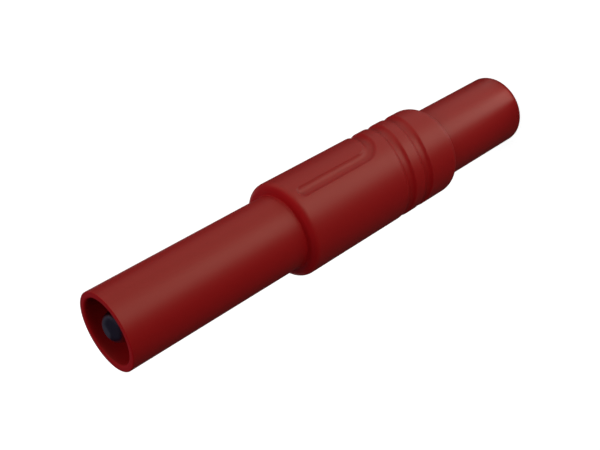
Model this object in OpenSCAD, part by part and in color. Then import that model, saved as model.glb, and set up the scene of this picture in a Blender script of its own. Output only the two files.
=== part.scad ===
// Banana plug for 4 mm sockets, with a rigid sheath round its contact
// It stands on its cable end: the origin is the centre of that end face, and +Z runs to the mouth

/* [Insulating body] */
// Outside diameter of the sheath
sheath_d = 7.8; // [7.4:0.1:8.2]
// Length of the sheath in front of the grip
sheath_len = 20.2; // [18:0.1:24]
// Inside diameter of the sheath
cavity_d = 6.5; // [6:0.1:6.8]
// Depth of the hollow round the contact, from the mouth
cavity_depth = 21.7; // [19:0.1:25]
// Rounding of both edges of the sheath's rim
rim_round = 0.2; // [0.05:0.05:0.25]
// Outside diameter of the grip
grip_d = 10; // [9:0.1:12]
// Length of the grip
grip_len = 21.8; // [20:0.1:28]
// Rounding of the grip's edge beside the sheath
grip_front_round = 0.7; // [0.2:0.1:1]
// Rounding of the grip's edge beside the cable collar
grip_rear_round = 1; // [0.2:0.1:1]
// Outside diameter of the cable collar
collar_d = 8; // [7.6:0.1:8.8]
// Length of the cable collar
collar_len = 12.7; // [11:0.1:18]
// Chamfer on the outer edge of the cable end
collar_chamfer = 0.15; // [0.05:0.05:0.4]
// Diameter of the bore that the cable goes into
entry_d = 5.2; // [5:0.1:6]
// Lead-in chamfer at the mouth of the cable bore
entry_chamfer = 0.3; // [0.1:0.1:0.5]
// Thickness of the wall that carries the pin, between the hollow and the rear bore
web_t = 6; // [4:0.5:8]

/* [Grip groove] */
// Width of the groove at the surface
groove_w = 1.3; // [0.8:0.1:1.6]
// Depth of the groove
groove_depth = 0.35; // [0.2:0.05:0.5]
// Direction of the straight run round the axis, seen from the mouth
groove_angle = 270; // [0:5:355]
// From the grip's front face to the start of the straight run
groove_start = 1.8; // [1.2:0.1:3]
// Length of the straight run, down to its bend
groove_run = 8.3; // [6:0.1:10]
// Bend radius where the straight run turns into the winding
groove_bend = 2.4; // [1:0.1:2.8]
// Advance of the winding in one turn
groove_lead = 2.65; // [2:0.05:3]
// Number of turns of the winding
groove_turns = 2.4; // [0.5:0.1:2.6]
// How far ahead of the straight run's side each turn begins to slant
groove_slant = 47; // [0:1:80]
// How much of each turn slants
groove_slant_arc = 160; // [90:5:180]

/* [Contact pin] */
// How far the nose lies inside the mouth
tip_recess = 0.1; // [0:0.1:2]
// Diameter of the nose
nose_d = 3; // [2.9:0.1:3.4]
// Length of the nose
nose_len = 1.6; // [1.3:0.1:2.5]
// Rounding of the nose's front edge
nose_round = 1.1; // [0.5:0.1:1.2]
// Diameter of the waist that carries the spring cage
waist_d = 2.2; // [1.8:0.1:2.3]
// Diameter of the shank behind the spring cage
shank_d = 4; // [3.6:0.1:4.2]
// Chamfer on the front edge of the shank
shank_chamfer = 0.4; // [0.1:0.1:0.8]
// Diameter of the flange that stops on the wall of the body
flange_d = 4.76; // [4.6:0.02:4.9]
// Length of the flange
flange_len = 5; // [3:0.5:7]
// Height of the ring on the flange that snaps into the body
snap_h = 0.2; // [0.1:0.05:0.3]
// Length of the snap ring
snap_len = 1; // [0.6:0.1:1.5]
// Outside diameter of the solder cup
cup_d = 4; // [3.4:0.1:4.4]
// Length of the solder cup
cup_len = 9; // [6:0.5:10]
// Diameter of the wire hole in the solder cup
wire_d = 2.6; // [1.8:0.1:2.8]
// Depth of the wire hole
wire_depth = 7; // [4:0.5:9]
// Length of the open side of the solder cup
cup_window = 4; // [2:0.5:5]

/* [Spring cage] */
// Length of the spring cage
cage_len = 12; // [10:0.5:14]
// Widest diameter of the cage when it is not squeezed
cage_bulge_d = 4.1; // [3.8:0.05:4.4]
// Thickness of the sheet
cage_t = 0.2; // [0.15:0.01:0.25]
// Length of each end ring
cage_ring_len = 1.2; // [0.8:0.1:2]
// Number of slats
cage_slats = 8; // [6:1:9]
// Width of the slots between the slats
cage_slot_w = 0.35; // [0.2:0.05:0.45]
// Width of the seam that runs the whole length
cage_seam_w = 0.25; // [0.1:0.05:0.3]

/* [Fits] */
// Gap round the pin in the body, on each side
pin_fit = 0.02; // [0.01:0.01:0.04]
// Gap between the cage's end rings and the waist, on each side
cage_fit = 0.05; // [0.02:0.01:0.08]
// End play of the cage in the waist, at each end
cage_play = 0.15; // [0.05:0.05:0.3]
// Room between the solder cup and the step in the rear bore
cup_room = 2; // [0.5:0.5:4]

/* [Hidden] */

body_color = [0.66, 0.06, 0.05];
pin_color = [0.62, 0.62, 0.6];
cage_color = [0.72, 0.68, 0.58];

// Overlap that lets a cutter pass a face cleanly
over = 0.5;
$fn = 96;

// Heights along the plug
grip_z0 = collar_len;
grip_z1 = grip_z0 + grip_len;
mouth_z = grip_z1 + sheath_len;
web_front_z = mouth_z - cavity_depth;
web_rear_z = web_front_z - web_t;
flange_rear_z = web_rear_z - flange_len;
snap_z = web_rear_z - flange_len / 2;
snap_room = snap_len + 2 * pin_fit;
cup_end_z = flange_rear_z - cup_len;
entry_len = cup_end_z - cup_room;
tip_z = mouth_z - tip_recess;
nose_rear_z = tip_z - nose_len;
shank_front_z = nose_rear_z - cage_len - 2 * cage_play;
cage_mid_z = (nose_rear_z + shank_front_z) / 2;

// Groove: a round-bottomed cutter, its centre line laid out on the unrolled grip and wrapped round it
grip_r = grip_d / 2;
cutter_r = (pow(groove_w / 2, 2) + pow(groove_depth, 2)) / (2 * groove_depth);
cutter_path_r = grip_r - groove_depth + cutter_r;
// Half of the arc that the cutter's section spans, with its lid just clear of the surface
cutter_half_arc = asin(groove_w / 2 / cutter_r) + 14;
section_steps = 8;
bend_steps = 8;
end_steps = 4;
straight_steps = 5;
steps_per_turn = 40;
grip_round = PI * grip_d;

// Winding: each turn slants for part of the way round, eased at both ends, and lies level for the rest
slant_share = groove_slant_arc / 360;
function turn_part(s) = let (turned = s / grip_round + groove_slant / 360) turned - floor(turned);
function slanted(part) = part < slant_share ? (1 - cos(180 * part / slant_share)) / 2 : 1;
function part_slope(part) = part < slant_share ?
    atan(groove_lead / (2 * slant_share * grip_d) * sin(180 * part / slant_share)) : 0;
function leads_down(s) = floor(s / grip_round + groove_slant / 360) + slanted(turn_part(s));
function slope_at(s) = part_slope(turn_part(s));
function bend_reach(slope) = groove_bend * (1 - sin(slope));

groove_top_z = grip_z1 - groove_start;
bend_z = groove_top_z - groove_run;
bend_slope = slope_at(bend_reach(slope_at(groove_bend)));
bend_turn = 90 - bend_slope;
bend_end = bend_reach(bend_slope);
level_z = bend_z - groove_bend * cos(bend_slope) + groove_lead * leads_down(bend_end);
winding_len = groove_turns * grip_round;
winding_steps = ceil(groove_turns * steps_per_turn);

// Path of the groove as [distance round the grip, height, direction]; 90 points to the cable end
straight_path = [for (i = [0 : straight_steps])
    [0, groove_top_z - groove_run * i / straight_steps, 90]];
bend_path = [for (i = [1 : bend_steps]) let (a = bend_turn * i / bend_steps)
    [groove_bend * (1 - cos(a)), bend_z - groove_bend * sin(a), 90 - a]];
winding_path = [for (i = [1 : winding_steps]) let (s = bend_end + winding_len * i / winding_steps)
    [s, level_z - groove_lead * leads_down(s), slope_at(s)]];
groove_path = concat(straight_path, bend_path, winding_path);

// Point of the cutter: a path point moved along the path, then across and out in the section plane
function cutter_point(p, along, across, out) =
    let (round = p[0] + along * cos(p[2]) + across * sin(p[2]),
         z = p[1] - along * sin(p[2]) + across * cos(p[2]),
         a = groove_angle + round / grip_r * 180 / PI,
         r = cutter_path_r + out)
    [r * cos(a), r * sin(a), z];

// Ring of the cutter's section, a circular segment shrunk by size
function cutter_ring(p, along, size) =
    [for (i = [0 : section_steps])
        let (a = cutter_half_arc * (2 * i / section_steps - 1),
             lid = (1 - size) * cos(cutter_half_arc))
        cutter_point(p, along, cutter_r * size * sin(a), -cutter_r * (size * cos(a) + lid))];

// Rings at a round end, sign -1 before the path and 1 after it
function end_rings(p, sign) =
    [for (i = [1 : end_steps])
        let (a = 90 * (i - 0.25) / end_steps)
        cutter_ring(p, sign * groove_w / 2 * sin(a), cos(a))];

function reversed(list) = [for (i = [len(list) - 1 : -1 : 0]) list[i]];

// Faces that skin a row of closed rings and cap both ends
function skin_faces(rings, n) = concat(
    [[for (i = [0 : n - 1]) i]],
    [for (k = [0 : rings - 2], i = [0 : n - 1], half = [0, 1])
        let (a = k * n + i, b = k * n + (i + 1) % n)
        half == 0 ? [a, a + n, b] : [b, a + n, b + n]],
    [[for (i = [n - 1 : -1 : 0]) (rings - 1) * n + i]]);

module groove_cutter() {
    last = groove_path[len(groove_path) - 1];
    rings = concat(
        reversed(end_rings(groove_path[0], -1)),
        [for (p = groove_path) cutter_ring(p, 0, 1)],
        end_rings(last, 1));
    polyhedron([for (ring = rings) each ring], skin_faces(len(rings), section_steps + 1), convexity = 10);
}

// Half profile of a round bar from z0 to z1
module bar(d, z0, z1) {
    translate([0, z0]) square([d / 2, z1 - z0]);
}

// What a rounding of radius r takes off a corner, where inward points from the corner into the material
module round_off(corner, inward, r) {
    translate(corner) scale([inward[0], inward[1], 1]) difference() {
        translate([-over, -over]) square(r + over);
        translate([r, r]) circle(r);
        translate([r, -over]) square(r + over);
        translate([-over, r]) square(r + over);
    }
}

// What a chamfer of size c takes off a corner
module chamfer_off(corner, inward, c) {
    translate(corner) scale([inward[0], inward[1], 1]) polygon([[-c, -c], [2 * c, -c], [-c, 2 * c]]);
}

module insulating_body() {
    color(body_color) difference() {
        rotate_extrude() difference() {
            union() {
                bar(collar_d, 0, grip_z0 + over);
                difference() {
                    bar(grip_d, grip_z0, grip_z1);
                    round_off([grip_r, grip_z0], [-1, 1], grip_rear_round);
                    round_off([grip_r, grip_z1], [-1, -1], grip_front_round);
                }
                bar(sheath_d, grip_z1 - over, mouth_z);
            }
            round_off([sheath_d / 2, mouth_z], [-1, -1], rim_round);
            chamfer_off([collar_d / 2, 0], [-1, 1], collar_chamfer);
            chamfer_off([entry_d / 2, 0], [1, 1], entry_chamfer);
            round_off([cavity_d / 2, mouth_z], [1, -1], rim_round);
            bar(cavity_d, web_front_z, mouth_z + over);
            bar(shank_d + 2 * pin_fit, web_rear_z - over, web_front_z + over);
            bar(flange_d + 2 * pin_fit, entry_len - over, web_rear_z);
            bar(flange_d + 2 * (snap_h + pin_fit), snap_z - snap_room / 2, snap_z + snap_room / 2);
            bar(entry_d, -over, entry_len);
        }
        groove_cutter();
    }
}

module contact_pin() {
    color(pin_color) difference() {
        rotate_extrude() difference() {
            union() {
                bar(nose_d, nose_rear_z, tip_z);
                bar(waist_d, shank_front_z - over, nose_rear_z + over);
                bar(shank_d, web_rear_z - over, shank_front_z);
                bar(flange_d, flange_rear_z, web_rear_z);
                bar(flange_d + 2 * snap_h, snap_z - snap_len / 2, snap_z + snap_len / 2);
                bar(cup_d, cup_end_z, flange_rear_z + over);
            }
            round_off([nose_d / 2, tip_z], [-1, -1], nose_round);
            chamfer_off([shank_d / 2, shank_front_z], [-1, -1], shank_chamfer);
            bar(wire_d, cup_end_z - over, cup_end_z + wire_depth);
        }
        translate([0, -cup_d, cup_end_z - over]) cube([cup_d, 2 * cup_d, cup_window + over]);
    }
}

module spring_cage() {
    ring_r = waist_d / 2 + cage_fit;
    edge_r = ring_r + cage_t;
    slat_half = cage_len / 2 - cage_ring_len;
    slot_half = slat_half - cage_slot_w;
    rise = cage_bulge_d / 2 - edge_r;
    bow_r = (pow(slat_half, 2) + pow(rise, 2)) / (2 * rise);
    bow_x = cage_bulge_d / 2 - bow_r;
    color(cage_color) translate([0, 0, cage_mid_z]) difference() {
        rotate_extrude() {
            intersection() {
                difference() {
                    translate([bow_x, 0]) circle(bow_r, $fn = 360);
                    translate([bow_x - cage_t, 0]) circle(bow_r, $fn = 360);
                }
                translate([0, -slat_half]) square([cage_bulge_d, 2 * slat_half]);
            }
            for (z = [-cage_len / 2, slat_half]) translate([ring_r, z]) square([cage_t, cage_ring_len]);
        }
        for (i = [0 : cage_slats - 1]) rotate(360 * i / cage_slats)
            translate([0, -cage_slot_w / 2, -slot_half]) cube([cage_bulge_d, cage_slot_w, 2 * slot_half]);
        translate([0, -cage_seam_w / 2, -cage_len]) cube([cage_bulge_d, cage_seam_w, 2 * cage_len]);
    }
}

insulating_body();
contact_pin();
spring_cage();
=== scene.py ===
# Banana plug with a rigid sheath: its finished pieces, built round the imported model
import math

import bmesh
import bpy
from mathutils import Matrix, Vector


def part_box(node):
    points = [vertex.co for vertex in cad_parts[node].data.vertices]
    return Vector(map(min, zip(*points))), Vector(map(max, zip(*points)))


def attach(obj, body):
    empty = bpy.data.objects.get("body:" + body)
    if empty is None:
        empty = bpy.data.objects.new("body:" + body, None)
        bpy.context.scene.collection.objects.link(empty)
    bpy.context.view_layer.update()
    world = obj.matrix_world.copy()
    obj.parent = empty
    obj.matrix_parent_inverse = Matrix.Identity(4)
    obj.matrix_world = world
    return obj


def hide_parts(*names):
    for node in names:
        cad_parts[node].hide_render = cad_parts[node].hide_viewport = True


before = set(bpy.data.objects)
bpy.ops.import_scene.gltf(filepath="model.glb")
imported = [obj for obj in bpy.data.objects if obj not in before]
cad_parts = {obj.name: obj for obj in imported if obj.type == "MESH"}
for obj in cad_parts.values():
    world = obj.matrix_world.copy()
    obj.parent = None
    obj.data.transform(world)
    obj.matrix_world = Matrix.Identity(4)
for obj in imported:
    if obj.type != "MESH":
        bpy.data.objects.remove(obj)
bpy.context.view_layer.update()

# Sizes are in millimetres, and a finished piece is brought to metres
MM = 0.001

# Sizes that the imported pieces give
body_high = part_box("insulating_body")[1]
pin_low, pin_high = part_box("contact_pin")
cage_low, cage_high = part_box("spring_cage")
MOUTH_Z = body_high.z / MM
GRIP_R = body_high.x / MM
TIP_Z = pin_high.z / MM
CUP_END_Z = pin_low.z / MM
CAGE_R = cage_high.x / MM
CAGE_HALF = (cage_high.z - cage_low.z) / 2 / MM
CAGE_MID_Z = (cage_high.z + cage_low.z) / 2 / MM

# Insulating body
SHEATH_R = 3.9
SHEATH_LENGTH = 20.2
RIM_OUTER_ROUND = 0.1
RIM_INNER_ROUND = 0.2
HOLLOW_R = 3.25
HOLLOW_DEPTH = 21.7
GRIP_LENGTH = 21.8
GRIP_FRONT_ROUND = 0.7
GRIP_REAR_ROUND = 1.0
COLLAR_R = 4.0
COLLAR_EDGE = 0.15
ENTRY_R = 2.6
ENTRY_DEPTH = 11.0
ENTRY_EDGE = 0.3
WEB = 6.0
CORNER_FILLET = 0.12

# Groove of the grip: a straight run, a bend, and turns that slant on one side only
GROOVE_WIDTH = 1.3
GROOVE_DEPTH = 0.35
GROOVE_LIP = 0.05
GROOVE_SIDE = math.radians(270)
GROOVE_START = 1.8
GROOVE_RUN = 8.3
GROOVE_BEND = 2.4
GROOVE_LEAD = 2.65
GROOVE_TURNS = 2.4
SLANT_EARLY = 47 / 360
SLANT_SHARE = 160 / 360

# Contact pin
NOSE_R = 1.5
NOSE_LENGTH = 1.6
NOSE_ROUND = 1.1
WAIST_R = 1.1
SHANK_R = 2.0
SHANK_CHAMFER = 0.4
FLANGE_R = 2.38
FLANGE_LENGTH = 5.0
SNAP_HEIGHT = 0.2
SNAP_LENGTH = 1.0
CUP_R = 2.0
WIRE_R = 1.3
WIRE_DEPTH = 7.0
CUP_WINDOW = 4.0
TURNED_EDGE = 0.06
PIN_FIT = 0.02

# Spring cage
CAGE_SHEET = 0.2
CAGE_FIT = 0.05
CAGE_RING = 1.2
CAGE_SLATS = 8
CAGE_SLOT = 0.35
CAGE_SEAM = 0.25

# Fineness of the meshes: steps round the axis, rows along the grip, and angles that stay sharp
SECTORS = 8
BODY_STEPS = 384
PIN_STEPS = 128
CAGE_STEPS = 96
BOW_STEPS = 28
ROUND_STEPS = 8
FINE_ROW = 0.09
PLAIN_ROW = 0.6
MOULDED_SHARP = math.radians(40)
METAL_SHARP = math.radians(35)
TOUCH = 0.001
CUT_TOUCH = 0.0001

# Heights along the plug
GRIP_TOP = MOUTH_Z - SHEATH_LENGTH
GRIP_FOOT = GRIP_TOP - GRIP_LENGTH
WEB_FRONT = MOUTH_Z - HOLLOW_DEPTH
WEB_REAR = WEB_FRONT - WEB
FLANGE_REAR = WEB_REAR - FLANGE_LENGTH
SNAP_TOP = WEB_REAR - FLANGE_LENGTH / 2 + SNAP_LENGTH / 2
SNAP_FOOT = SNAP_TOP - SNAP_LENGTH
NOSE_REAR = TIP_Z - NOSE_LENGTH
SHANK_FRONT = 2 * CAGE_MID_Z - NOSE_REAR


# Shader values: a socket with arithmetic, and a node tree that makes nodes

class Value:
    """A shader socket. Arithmetic on it adds Math nodes to its tree."""

    def __init__(self, tree, socket):
        self.tree = tree
        self.socket = socket

    def math(self, operation, other):
        return self.tree.node("ShaderNodeMath", {"operation": operation}, [self, other])

    def __add__(self, other):
        return self.math("ADD", other)

    __radd__ = __add__

    def __mul__(self, other):
        return self.math("MULTIPLY", other)

    __rmul__ = __mul__

    def __or__(self, other):
        return self.math("MAXIMUM", other)


class Tree:
    """The node tree of a material or a world, emptied."""

    def __init__(self, owner):
        owner.use_nodes = True
        self.nodes = owner.node_tree.nodes
        self.links = owner.node_tree.links
        self.nodes.clear()

    def node(self, kind, settings=None, inputs=(), output=0):
        """Adds a node, sets it, feeds its sockets and returns one of its outputs."""
        made = self.nodes.new(kind)
        for name, setting in (settings or {}).items():
            setattr(made, name, setting)
        pairs = inputs.items() if isinstance(inputs, dict) else enumerate(inputs)
        for key, fed in pairs:
            if isinstance(fed, Value):
                self.links.new(fed.socket, made.inputs[key])
            else:
                made.inputs[key].default_value = fed
        if not made.outputs:
            return None
        return Value(self, made.outputs[output])

    def place(self):
        return self.node("ShaderNodeTexCoord", output="Object")

    def stretch(self, where, scale):
        return self.node("ShaderNodeMapping", None, {"Vector": where, "Scale": scale})

    def noise(self, where, scale, detail):
        sockets = {"Vector": where, "Scale": scale, "Detail": detail}
        return self.node("ShaderNodeTexNoise", None, sockets)

    def blend(self, share, first, second):
        """Colour between two colours, by a share from 0 to 1."""
        settings = {"data_type": "RGBA"}
        return self.node("ShaderNodeMix", settings, {0: share, 6: first, 7: second}, output=2)

    def bump(self, height, strength):
        sockets = {"Strength": strength, "Distance": BUMP_DEPTH, "Height": height}
        return self.node("ShaderNodeBump", None, sockets)

    def principled(self, sockets):
        self.surface(self.node("ShaderNodeBsdfPrincipled", None, sockets))

    def surface(self, shader):
        self.node("ShaderNodeOutputMaterial", None, {"Surface": shader})


def new_material(name):
    material = bpy.data.materials.new(name)
    return material, Tree(material)


# Materials of the plug: patterns are scaled per metre, and the bump's depth is in metres

BUMP_DEPTH = 0.00001
SOFT_DETAIL = 3.0
FINE_DETAIL = 2.0

RED = (0.275, 0.0046, 0.0056, 1)
RED_DEEP = (0.265, 0.0043, 0.0053, 1)
RED_TINT = (1.0, 1.0, 0.78, 1)
RED_IOR = 1.6
RED_ROUGH = 0.40
RED_UNEVEN = 0.06
FLOW_SCALE = 220.0
GRAIN_SCALE = 9000.0
GRAIN_BUMP = 0.25

NICKEL = (0.47, 0.47, 0.48, 1)
NICKEL_DULL = (0.38, 0.38, 0.39, 1)
NICKEL_ROUGH = 0.22
NICKEL_UNEVEN = 0.12
NICKEL_STAIN = 700.0
RING_STRETCH = (400.0, 400.0, 24000.0)
RING_ROUGH = 0.06
RING_BUMP = 0.3

SPRING = (0.52, 0.48, 0.42, 1)
SPRING_DULL = (0.42, 0.38, 0.32, 1)
SPRING_ROUGH = 0.26
SPRING_UNEVEN = 0.12
SPRING_STAIN = 900.0
ROLL_STRETCH = (12000.0, 12000.0, 500.0)
ROLL_ROUGH = 0.05
ROLL_BUMP = 0.25


def moulded_red():
    """Satin moulded plastic: flow shading, and a fine eroded grain."""
    material, tree = new_material("moulded_red")
    where = tree.place()
    flow = tree.noise(where, FLOW_SCALE, SOFT_DETAIL)
    grain = tree.noise(where, GRAIN_SCALE, FINE_DETAIL)
    tree.principled({
        "Base Color": tree.blend(flow, RED_DEEP, RED),
        "Roughness": RED_ROUGH + RED_UNEVEN * flow + RED_UNEVEN * grain,
        "IOR": RED_IOR,
        "Specular Tint": RED_TINT,
        "Normal": tree.bump(grain, GRAIN_BUMP),
    })
    return material


def turned_nickel():
    """Nickel plate over a turned surface, with rings left by the tool."""
    material, tree = new_material("turned_nickel")
    where = tree.place()
    rings = tree.noise(tree.stretch(where, RING_STRETCH), 1.0, FINE_DETAIL)
    stain = tree.noise(where, NICKEL_STAIN, SOFT_DETAIL)
    tree.principled({
        "Base Color": tree.blend(stain, NICKEL_DULL, NICKEL),
        "Metallic": 1.0,
        "Roughness": NICKEL_ROUGH + NICKEL_UNEVEN * stain + RING_ROUGH * rings,
        "Normal": tree.bump(rings, RING_BUMP),
    })
    return material


def spring_sheet():
    """Rolled spring sheet, plated, with the lines of the rolling along it."""
    material, tree = new_material("spring_sheet")
    where = tree.place()
    lines = tree.noise(tree.stretch(where, ROLL_STRETCH), 1.0, FINE_DETAIL)
    stain = tree.noise(where, SPRING_STAIN, SOFT_DETAIL)
    tree.principled({
        "Base Color": tree.blend(stain, SPRING_DULL, SPRING),
        "Metallic": 1.0,
        "Roughness": SPRING_ROUGH + SPRING_UNEVEN * stain + ROLL_ROUGH * lines,
        "Normal": tree.bump(lines, ROLL_BUMP),
    })
    return material


# Turned shapes: an outline in the XZ plane, spun about the plug's axis

def outline(points, closed=False):
    """Wire outline through points of radius, height and rounding."""
    wire = bmesh.new()
    corners = [wire.verts.new((radius, 0, height)) for radius, height, rounding in points]
    for first, second in zip(corners, corners[1:]):
        wire.edges.new((first, second))
    if closed:
        wire.edges.new((corners[-1], corners[0]))
    for corner, (radius, height, rounding) in zip(corners, points):
        if rounding:
            round_corner(wire, corner, rounding)
    return wire


def round_corner(wire, corner, rounding):
    bmesh.ops.bevel(
        wire, geom=[corner], offset=rounding, offset_type="OFFSET", segments=ROUND_STEPS,
        profile=0.5, affect="VERTICES", material=-1)


def spin_full(shape, steps):
    """Spins an outline through one sector, copies that all round, and closes the seams and poles."""
    sector = 2 * math.pi / SECTORS
    bmesh.ops.spin(
        shape, geom=[*shape.verts, *shape.edges], cent=(0, 0, 0), axis=(0, 0, 1), dvec=(0, 0, 0),
        angle=sector, steps=steps // SECTORS)
    bmesh.ops.spin(
        shape, geom=[*shape.verts, *shape.edges, *shape.faces], cent=(0, 0, 0), axis=(0, 0, 1),
        dvec=(0, 0, 0), angle=2 * math.pi - sector, steps=SECTORS - 1, use_duplicate=True)
    bmesh.ops.remove_doubles(shape, verts=shape.verts, dist=TOUCH)
    bmesh.ops.recalc_face_normals(shape, faces=shape.faces)


def divide_rows(wire, radius, foot, top, row):
    """Divides the straight outline edge at a radius, between two heights, into rows."""
    for edge in list(wire.edges):
        low, high = sorted(vertex.co.z for vertex in edge.verts)
        on_radius = all(abs(vertex.co.x - radius) < TOUCH for vertex in edge.verts)
        if on_radius and low > foot - TOUCH and high < top + TOUCH:
            cuts = math.ceil((high - low) / row) - 1
            bmesh.ops.subdivide_edges(wire, edges=[edge], cuts=cuts)


def finish_piece(shape, name, material, sharp_angle, body, node):
    """Makes an object of a shape in millimetres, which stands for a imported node."""
    bmesh.ops.scale(shape, vec=(MM, MM, MM), verts=shape.verts)
    mesh = bpy.data.meshes.new(name)
    shape.to_mesh(mesh)
    shape.free()
    mesh.shade_smooth()
    mesh.set_sharp_from_angle(angle=sharp_angle)
    mesh.materials.append(material)
    piece = bpy.data.objects.new(name, mesh)
    bpy.context.scene.collection.objects.link(piece)
    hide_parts(node)
    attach(piece, body)


# Groove: distance from its centre line on the unrolled grip, and the depth there

ROUND_GRIP = 2 * math.pi * GRIP_R


def leads_down(around):
    """How many leads the turns have come down, at a distance round the grip from the straight run."""
    whole, part = divmod(around / ROUND_GRIP + SLANT_EARLY, 1)
    if part > SLANT_SHARE:
        return whole + 1
    return whole + (1 - math.cos(math.pi * part / SLANT_SHARE)) / 2


def slope_at(around):
    part = (around / ROUND_GRIP + SLANT_EARLY) % 1
    if part > SLANT_SHARE:
        return 0
    steepest = math.pi * GROOVE_LEAD / ROUND_GRIP / (2 * SLANT_SHARE)
    return math.atan(steepest * math.sin(math.pi * part / SLANT_SHARE))


def bend_reach(slope):
    """How far round the grip the bend ends, where it meets a slope."""
    return GROOVE_BEND * (1 - math.sin(slope))


GROOVE_TOP = GRIP_TOP - GROOVE_START
BEND_TOP = GROOVE_TOP - GROOVE_RUN
BEND_SLOPE = slope_at(bend_reach(slope_at(GROOVE_BEND)))
BEND_TURN = math.pi / 2 - BEND_SLOPE
BEND_END = bend_reach(BEND_SLOPE)
LEVEL_TOP = BEND_TOP - GROOVE_BEND * math.cos(BEND_SLOPE) + GROOVE_LEAD * leads_down(BEND_END)
GROOVE_END = BEND_END + GROOVE_TURNS * ROUND_GRIP
SECTION_R = ((GROOVE_WIDTH / 2) ** 2 + GROOVE_DEPTH ** 2) / (2 * GROOVE_DEPTH)


def turn_height(around):
    return LEVEL_TOP - GROOVE_LEAD * leads_down(around)


def distance_to_run(around, height):
    beyond = max(height - GROOVE_TOP, BEND_TOP - height, 0)
    return math.hypot(around, beyond)


def distance_to_bend(around, height):
    inward = GROOVE_BEND - around
    down = BEND_TOP - height
    if 0 <= math.atan2(down, inward) <= BEND_TURN:
        return abs(math.hypot(inward, down) - GROOVE_BEND)
    return math.inf


def distance_to_turns(around, height):
    inside = min(max(around, BEND_END), GROOVE_END)
    return math.hypot(around - inside, (height - turn_height(inside)) * math.cos(slope_at(inside)))


def distance_to_groove(around, height):
    """Nearest distance to the groove's centre line, on the unrolled grip."""
    near = around if around < ROUND_GRIP / 2 else around - ROUND_GRIP
    nearest = min(distance_to_run(near, height), distance_to_bend(near, height))
    for turn in range(math.ceil(GROOVE_TURNS) + 1):
        nearest = min(nearest, distance_to_turns(around + turn * ROUND_GRIP, height))
    return nearest


def groove_depth(distance):
    """Depth of the round-bottomed groove, eased into the grip over its lip."""
    if distance > GROOVE_WIDTH:
        return 0
    rise = SECTION_R ** 2 - distance ** 2
    sunk = math.copysign(math.sqrt(abs(rise)), rise) - SECTION_R + GROOVE_DEPTH
    easing = max(GROOVE_LIP - abs(sunk), 0) / GROOVE_LIP
    return max(sunk, 0) + easing ** 2 * GROOVE_LIP / 4


def press_groove(shape):
    """Moves the points of the grip's surface inward by the groove's depth."""
    for vertex in shape.verts:
        radius = math.hypot(vertex.co.x, vertex.co.y)
        if radius < GRIP_R - TOUCH:
            continue
        angle = math.atan2(vertex.co.y, vertex.co.x) - GROOVE_SIDE
        around = (angle % (2 * math.pi)) * GRIP_R
        depth = groove_depth(distance_to_groove(around, vertex.co.z))
        vertex.co.x *= 1 - depth / radius
        vertex.co.y *= 1 - depth / radius


# Pieces of the plug

def insulating_body():
    """One moulding: collar, grip and sheath, with the hollow, the pin's seat and the cable bore."""
    pin_bore = SHANK_R + PIN_FIT
    chamber = FLANGE_R + PIN_FIT
    recess = chamber + SNAP_HEIGHT
    fine_top = BEND_TOP + GROOVE_WIDTH
    end_foot = GROOVE_TOP - GROOVE_WIDTH / 2
    wire = outline([
        (COLLAR_R, 0, COLLAR_EDGE),
        (COLLAR_R, GRIP_FOOT, CORNER_FILLET),
        (GRIP_R, GRIP_FOOT, GRIP_REAR_ROUND),
        (GRIP_R, fine_top, 0),
        (GRIP_R, end_foot, 0),
        (GRIP_R, GRIP_TOP, GRIP_FRONT_ROUND),
        (SHEATH_R, GRIP_TOP, CORNER_FILLET),
        (SHEATH_R, MOUTH_Z, RIM_OUTER_ROUND),
        (HOLLOW_R, MOUTH_Z, RIM_INNER_ROUND),
        (HOLLOW_R, WEB_FRONT, CORNER_FILLET),
        (pin_bore, WEB_FRONT, 0),
        (pin_bore, WEB_REAR, 0),
        (chamber, WEB_REAR, 0),
        (chamber, SNAP_TOP + PIN_FIT, 0),
        (recess, SNAP_TOP + PIN_FIT, 0),
        (recess, SNAP_FOOT - PIN_FIT, 0),
        (chamber, SNAP_FOOT - PIN_FIT, 0),
        (chamber, ENTRY_DEPTH, 0),
        (ENTRY_R, ENTRY_DEPTH, 0),
        (ENTRY_R, 0, ENTRY_EDGE),
    ], closed=True)
    divide_rows(wire, GRIP_R, GRIP_FOOT, fine_top, FINE_ROW)
    divide_rows(wire, GRIP_R, fine_top, end_foot, PLAIN_ROW)
    divide_rows(wire, GRIP_R, end_foot, GRIP_TOP, FINE_ROW)
    spin_full(wire, BODY_STEPS)
    press_groove(wire)
    finish_piece(
        wire, "moulded_body", moulded_red(), MOULDED_SHARP,
        "plug", "insulating_body")


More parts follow.
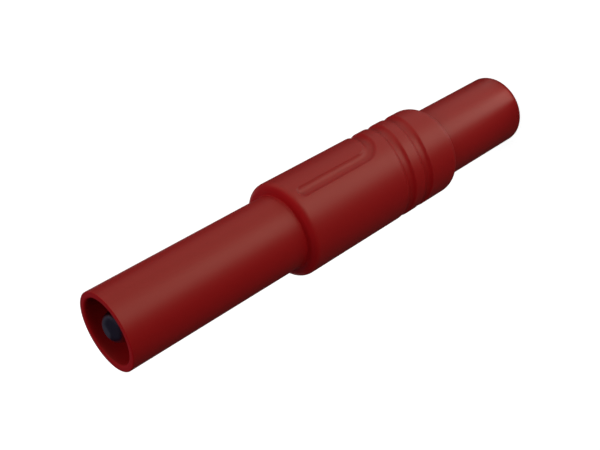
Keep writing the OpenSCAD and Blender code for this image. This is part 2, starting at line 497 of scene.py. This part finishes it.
def contact_pin():
    """Turned pin: nose, waist for the cage, shank, flange with its snap ring, and solder cup."""
    snap = FLANGE_R + SNAP_HEIGHT
    wire_top = CUP_END_Z + WIRE_DEPTH
    wire = outline([
        (0, TIP_Z, 0),
        (NOSE_R, TIP_Z, NOSE_ROUND),
        (NOSE_R, NOSE_REAR, TURNED_EDGE),
        (WAIST_R, NOSE_REAR, 0),
        (WAIST_R, SHANK_FRONT, 0),
        (SHANK_R - SHANK_CHAMFER, SHANK_FRONT, TURNED_EDGE),
        (SHANK_R, SHANK_FRONT - SHANK_CHAMFER, TURNED_EDGE),
        (SHANK_R, WEB_REAR, 0),
        (FLANGE_R, WEB_REAR, TURNED_EDGE),
        (FLANGE_R, SNAP_TOP, 0),
        (snap, SNAP_TOP, TURNED_EDGE),
        (snap, SNAP_FOOT, TURNED_EDGE),
        (FLANGE_R, SNAP_FOOT, 0),
        (FLANGE_R, FLANGE_REAR, TURNED_EDGE),
        (CUP_R, FLANGE_REAR, 0),
        (CUP_R, CUP_END_Z, 0),
        (WIRE_R, CUP_END_Z, 0),
        (WIRE_R, wire_top, 0),
        (0, wire_top, 0),
    ])
    spin_full(wire, PIN_STEPS)
    open_cup(wire)
    finish_piece(
        wire, "plated_pin", turned_nickel(), METAL_SHARP,
        "plug", "contact_pin")


def cut_through(shape, point, normal):
    geometry = [*shape.verts, *shape.edges, *shape.faces]
    bmesh.ops.bisect_plane(shape, geom=geometry, dist=CUT_TOUCH, plane_co=point, plane_no=normal)


def open_cup(shape):
    """Cuts away one half of the solder cup, and closes the cut edges of its wall."""
    window_top = CUP_END_Z + CUP_WINDOW
    cut_through(shape, (0, 0, window_top), (0, 0, 1))
    cut_through(shape, (0, 0, 0), (1, 0, 0))
    centres = [(face, face.calc_center_median()) for face in shape.faces]
    gone = [face for face, centre in centres if centre.z < window_top and centre.x > 0]
    bmesh.ops.delete(shape, geom=gone, context="FACES")
    rim = [edge for edge in shape.edges if edge.is_boundary]
    sides = [edge for edge in rim if max(v.co.z for v in edge.verts) > CUP_END_Z + TOUCH]
    bmesh.ops.bridge_loops(shape, edges=sides)
    bmesh.ops.recalc_face_normals(shape, faces=shape.faces)


def spring_cage():
    """Rolled sheet with two end rings and bowed slats between its slots."""
    ring_r = WAIST_R + CAGE_FIT + CAGE_SHEET
    slat_half = CAGE_HALF - CAGE_RING
    rise = CAGE_R - ring_r
    bow_r = (slat_half ** 2 + rise ** 2) / (2 * rise)
    bow_turn = 2 * math.asin(slat_half / bow_r)
    sheet = bmesh.new()
    foot = sheet.verts.new((ring_r, 0, -slat_half))
    bmesh.ops.spin(
        sheet, geom=[foot], cent=(CAGE_R - bow_r, 0, 0), axis=(0, -1, 0), dvec=(0, 0, 0),
        angle=bow_turn, steps=BOW_STEPS)
    bow_ends = [vertex for vertex in sheet.verts if len(vertex.link_edges) == 1]
    bow_ends.sort(key=lambda vertex: vertex.co.z)
    for bow_end, height in zip(bow_ends, (-CAGE_HALF, CAGE_HALF)):
        ring_end = sheet.verts.new((ring_r, 0, height))
        sheet.edges.new((bow_end, ring_end))
    spin_full(sheet, CAGE_STEPS)
    for index in range(CAGE_SLATS):
        turn = 2 * math.pi * index / CAGE_SLATS
        cut_slot(sheet, turn, CAGE_SLOT, slat_half - CAGE_SLOT)
    cut_slot(sheet, 0, CAGE_SEAM, CAGE_HALF + CAGE_SHEET)
    bmesh.ops.solidify(sheet, geom=sheet.faces, thickness=CAGE_SHEET)
    bmesh.ops.translate(sheet, vec=(0, 0, CAGE_MID_Z), verts=sheet.verts)
    finish_piece(
        sheet, "slotted_cage", spring_sheet(), METAL_SHARP,
        "cage", "spring_cage")


def cut_slot(sheet, turn, width, half):
    """Cuts a slot of even width through one side of the sheet."""
    outward = Vector((math.cos(turn), math.sin(turn), 0))
    across = Vector((-math.sin(turn), math.cos(turn), 0))
    along = Vector((0, 0, 1))
    sides = ((across * width / 2, across), (-across * width / 2, across))
    ends = ((along * half, along), (-along * half, along))

    def near_slot(face):
        return face.calc_center_median().dot(outward) > 0

    for point, normal in (*sides, *ends):
        faces = [face for face in sheet.faces if near_slot(face)]
        edges = {edge for face in faces for edge in face.edges}
        corners = {vertex for face in faces for vertex in face.verts}
        bmesh.ops.bisect_plane(
            sheet, geom=[*corners, *edges, *faces], dist=CUT_TOUCH, plane_co=point, plane_no=normal)
    gone = []
    for face in sheet.faces:
        centre = face.calc_center_median()
        if near_slot(face) and abs(centre.dot(across)) < width / 2 and abs(centre.z) < half:
            gone.append(face)
    bmesh.ops.delete(sheet, geom=gone, context="FACES")


# Camera at the photograph's place: the plug lies across its view

AIM = Vector((-0.348, 0.175, 32.016)) * MM
AZIMUTH = math.radians(-26.697)
ELEVATION = math.radians(33.742)
ROLL = math.radians(-120.165)
DISTANCE = 88.612 * MM
LENS = 53.67
NEAREST = 0.001
VIEW_SIDE = AZIMUTH + math.radians(270)


def camera():
    lens = bpy.data.cameras.new("camera")
    lens.lens = LENS
    lens.clip_start = NEAREST
    view = bpy.data.objects.new("camera", lens)
    back = Vector((
        math.sin(AZIMUTH) * math.cos(ELEVATION),
        -math.cos(AZIMUTH) * math.cos(ELEVATION),
        math.sin(ELEVATION)))
    place = Matrix.Translation(AIM + DISTANCE * back)
    level = (-back).to_track_quat("-Z", "Y").to_matrix().to_4x4()
    view.matrix_world = place @ level @ Matrix.Rotation(ROLL, 4, "Z")
    bpy.context.scene.collection.objects.link(view)
    bpy.context.scene.camera = view


# Studio, in metres and in degrees round the plug: a white floor, soft boxes, and cards for the reflections

FULL_TURN = 360

# Floor that sweeps up all round, and the room's light
FLOOR_R = 1.6
FLOOR_BEND = 0.4
FLOOR_WALL = 0.9
FLOOR_STEPS = 96
FLOOR_PAPER = (0.8, 0.8, 0.8, 1)
FLOOR_SHADE = (0.45, 0.45, 0.45, 1)
FLOOR_GLOW = 0.88
ROOM = (0.2, 0.2, 0.2, 1)

# Places of the cards: a tent round the plug, and cards that lie just inside it
TENT_NEAR = 0.003
TENT_R = 0.16
TENT_LIFT = 0.00003
TENT_TOP = 0.05
ROOF = 0.16
INSIDE_R = 0.155
INSIDE_LIFT = 2 * TENT_LIFT
FRONT_GAP = 0.0003
WHITE_TOP = 0.045
GREY_TOP = 0.1
BACK_NEAR = 0.07
CARD_STEP = 6

# Angles at which the cards start and end
WHITE_FROM = 237
GREY_FROM = 279
GREY_TO = 350
BACK_FROM = 35
BACK_TO = 85
BLACK_FROM = 70
DIM_FROM = 243

# Brightness of the cards
WHITE_CARD = (1.38, 1.2, 1.17, 1)
GREY_CARD = (0.44, 0.43, 0.41, 1)
DARK_CARD = (0.036, 0.036, 0.036, 1)
BACK_CARD = (0.6, 0.6, 0.6, 1)
DIM_CARD = (0.05, 0.048, 0.07, 1)
BLACK_CARD = (0.008, 0.004, 0.01, 1)
DARK_ROOF = (0.02, 0.017, 0.03, 1)

# Soft boxes: rows of one height and size, with the angle and the brightness of each box
BOX_DISTANCE = 0.6
BOX_AIM = 0.03
SMALL_BOX = 0.15
LARGE_BOX = 0.3
LOW_RISE = 2
HIGH_RISE = 60
FRONT_ROW = ((203, 5.95), (223, 5.95), (243, 5.95), (263, 5.95))
HIGH_ROW = ((243, 1.45), (273, 2.4), (333, 2.65), (363, 2.3))
BACK_ROW = ((23, 1.9), (53, 1.9), (83, 5.5))


def white_sweep():
    """White to the camera and in reflections, with the plug's shadow on it."""
    material, tree = new_material("white_sweep")
    kind = "ShaderNodeLightPath"
    seen = tree.node(kind, output="Is Camera Ray")
    mirrored = tree.node(kind, output="Is Glossy Ray")
    through = tree.node(kind, output="Is Transmission Ray")
    shown = seen | mirrored | through
    paper = tree.node("ShaderNodeBsdfDiffuse", None, {"Color": FLOOR_PAPER})
    faint = tree.node("ShaderNodeBsdfDiffuse", None, {"Color": FLOOR_SHADE})
    glow = tree.node("ShaderNodeEmission", None, {"Strength": FLOOR_GLOW})
    white = tree.node("ShaderNodeAddShader", None, [faint, glow])
    tree.surface(tree.node("ShaderNodeMixShader", None, [shown, paper, white]))
    return material


def card_paper(name, colour):
    """Card at an even brightness, whatever falls on it."""
    material, tree = new_material(name)
    tree.surface(tree.node("ShaderNodeEmission", None, {"Color": colour, "Strength": 1.0}))
    return material


def stage_object(shape, name, material):
    mesh = bpy.data.meshes.new(name)
    shape.to_mesh(mesh)
    shape.free()
    mesh.shade_smooth()
    mesh.materials.append(material)
    thing = bpy.data.objects.new(name, mesh)
    bpy.context.scene.collection.objects.link(thing)
    return thing


def floor():
    wire = outline([(0, 0, 0), (FLOOR_R, 0, FLOOR_BEND), (FLOOR_R, FLOOR_WALL, 0)])
    spin_full(wire, FLOOR_STEPS)
    stage_object(wire, "floor", white_sweep())


def bent_card(start, end, points):
    """Outline of radius and height, bent round the plug from one angle to another."""
    wire = outline([(radius, height, 0) for radius, height in points])
    first_turn = Matrix.Rotation(math.radians(start), 3, "Z")
    bmesh.ops.rotate(wire, cent=(0, 0, 0), matrix=first_turn, verts=wire.verts)
    bmesh.ops.spin(
        wire, geom=[*wire.verts, *wire.edges], cent=(0, 0, 0), axis=(0, 0, 1), dvec=(0, 0, 0),
        angle=math.radians(end - start), steps=math.ceil((end - start) / CARD_STEP))
    return wire


def lean_lines(shape):
    """Starts each line of a card at the side of the collar that mirrors it to the camera."""
    collar = COLLAR_R * MM
    for vertex in shape.verts:
        turn = math.atan2(vertex.co.y, vertex.co.x) % (2 * math.pi)
        reach = math.hypot(vertex.co.x, vertex.co.y) - collar
        side = (turn + VIEW_SIDE) / 2
        vertex.co.x = collar * math.cos(side) + reach * math.cos(turn)
        vertex.co.y = collar * math.sin(side) + reach * math.sin(turn)


def hang_card(shape, name, colour):
    """Card that the camera and the lamps pass through."""
    hung = stage_object(shape, name, card_paper(name, colour))
    hung.visible_camera = False
    hung.visible_shadow = False


def front_card(name, start, end, top, colour):
    near = COLLAR_R * MM + FRONT_GAP
    shape = bent_card(start, end, [(near, INSIDE_LIFT), (INSIDE_R, INSIDE_LIFT), (INSIDE_R, top)])
    lean_lines(shape)
    hang_card(shape, name, colour)


def cards():
    """A dark tent with a roof, and in it a pale card behind and a white and a grey one in front."""
    tent = [(TENT_NEAR, TENT_LIFT), (TENT_R, TENT_LIFT), (TENT_R, TENT_TOP)]
    wall = [(TENT_R, TENT_TOP), (TENT_R, ROOF)]
    roof = [(TENT_R, ROOF), (0, ROOF)]
    low = [(BACK_NEAR, INSIDE_LIFT), (INSIDE_R, INSIDE_LIFT), (INSIDE_R, TENT_TOP)]
    hang_card(bent_card(0, FULL_TURN, tent), "dark_tent", DARK_CARD)
    hang_card(bent_card(BLACK_FROM, DIM_FROM, wall), "black_card", BLACK_CARD)
    hang_card(bent_card(DIM_FROM, BLACK_FROM + FULL_TURN, wall), "dim_card", DIM_CARD)
    hang_card(bent_card(0, FULL_TURN, roof), "dark_roof", DARK_ROOF)
    hang_card(bent_card(BACK_FROM, BACK_TO, low), "back_card", BACK_CARD)
    front_card("white_card", WHITE_FROM, GREY_FROM, WHITE_TOP, WHITE_CARD)
    front_card("grey_card", GREY_FROM, GREY_TO, GREY_TOP, GREY_CARD)


def soft_box(azimuth, elevation, size, radiance):
    """Square lamp at an angle round the plug's axis and above the floor, aimed at the plug."""
    light = bpy.data.lights.new("soft_box", "AREA")
    light.size = size
    light.energy = math.pi * size ** 2 * radiance
    box = bpy.data.objects.new("soft_box", light)
    turn = math.radians(azimuth)
    rise = math.radians(elevation)
    outward = Vector((math.cos(turn) * math.cos(rise), math.sin(turn) * math.cos(rise), math.sin(rise)))
    box.location = Vector((0, 0, BOX_AIM)) + BOX_DISTANCE * outward
    box.rotation_euler = outward.to_track_quat("Z", "Y").to_euler()
    box.visible_camera = False
    box.visible_glossy = False
    bpy.context.scene.collection.objects.link(box)


def soft_boxes():
    """A low row in front, a row above it that leans to the right, and a low row behind."""
    rows = (
        (FRONT_ROW, LOW_RISE, SMALL_BOX),
        (HIGH_ROW, HIGH_RISE, LARGE_BOX),
        (BACK_ROW, LOW_RISE, LARGE_BOX),
    )
    for row, elevation, size in rows:
        for azimuth, radiance in row:
            soft_box(azimuth, elevation, size, radiance)


def room_light():
    world = bpy.data.worlds.new("room")
    bpy.context.scene.world = world
    tree = Tree(world)
    room = tree.node("ShaderNodeBackground", None, {"Color": ROOM, "Strength": 1.0})
    tree.node("ShaderNodeOutputWorld", None, {"Surface": room})


insulating_body()
contact_pin()
spring_cage()
floor()
cards()
soft_boxes()
room_light()
camera()

bpy.context.scene.view_settings.view_transform = "Standard"
